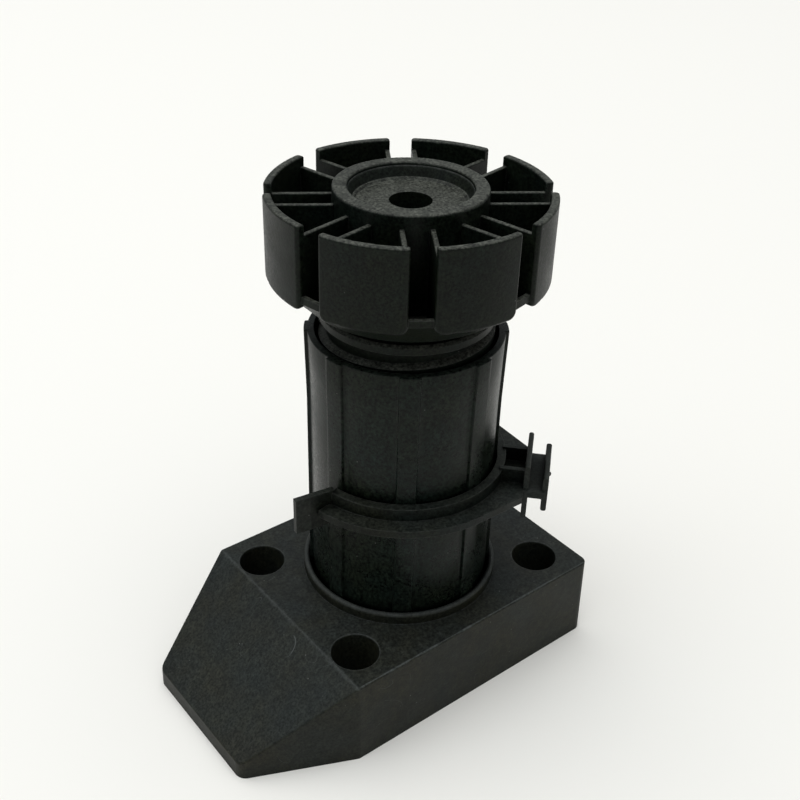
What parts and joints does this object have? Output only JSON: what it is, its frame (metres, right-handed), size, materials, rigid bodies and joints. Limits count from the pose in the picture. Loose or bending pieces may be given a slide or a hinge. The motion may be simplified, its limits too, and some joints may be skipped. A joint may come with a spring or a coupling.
{
  "type": "adjustable cabinet leg",
  "caption": "Adjustable plinth leg for a cabinet: hollow wedge-nosed mounting plate, plug-in banded tube, ribbed screw foot and a spring clip with a rail for the plinth board.",
  "frame": {"origin": "on the leg's axis, at the mounting plate's cabinet face", "axes": "+Z along the leg's axis from the mounting plate to the foot, -X towards the plate's tapered nose. In use the leg hangs the other way up, with +Z pointing at the floor"},
  "size_m": [0.104, 0.067, 0.1296],
  "materials": {
    "plate_plastic": "fine-grained moulded black plastic, slightly worn along its edges",
    "tube_plastic": "smooth semi-gloss moulded black plastic",
    "foot_plastic": "fine-grained matte moulded black plastic",
    "clip_plastic": "matte moulded black plastic"
  },
  "bodies": {
    "plate": {"mounting_plate": "plate_plastic"},
    "leg": {"leg_tube": "tube_plastic"},
    "foot_centre": {"hub_plug": "foot_plastic"},
    "foot": {"adjusting_foot": "foot_plastic"},
    "clip": {"plinth_clip": "clip_plastic"}
  },
  "joints": [
    {"name": "leg_pull_out", "type": "slide", "parent": "plate", "child": "leg", "axis": [0, 0, 1], "range_m": [0, 0.03]},
    {"name": "foot_rise", "type": "slide", "parent": "leg", "child": "foot_centre", "axis": [0, 0, 1], "range_m": [-0.009, 0.02]},
    {"name": "foot_turn", "type": "hinge", "parent": "foot_centre", "child": "foot", "pos_m": [0, 0, 0.1263], "axis": [0, 0, 1], "range_deg": [-540, 1200]},
    {"name": "clip_turn", "type": "hinge", "parent": "leg", "child": "clip", "pos_m": [0, 0, 0.0559], "axis": [0, 0, 1], "continuous": true}
  ],
  "couplings": [
    {"joint": "foot_rise", "follows": "foot_turn", "m_per_rad": 0.00095493}
  ]
}
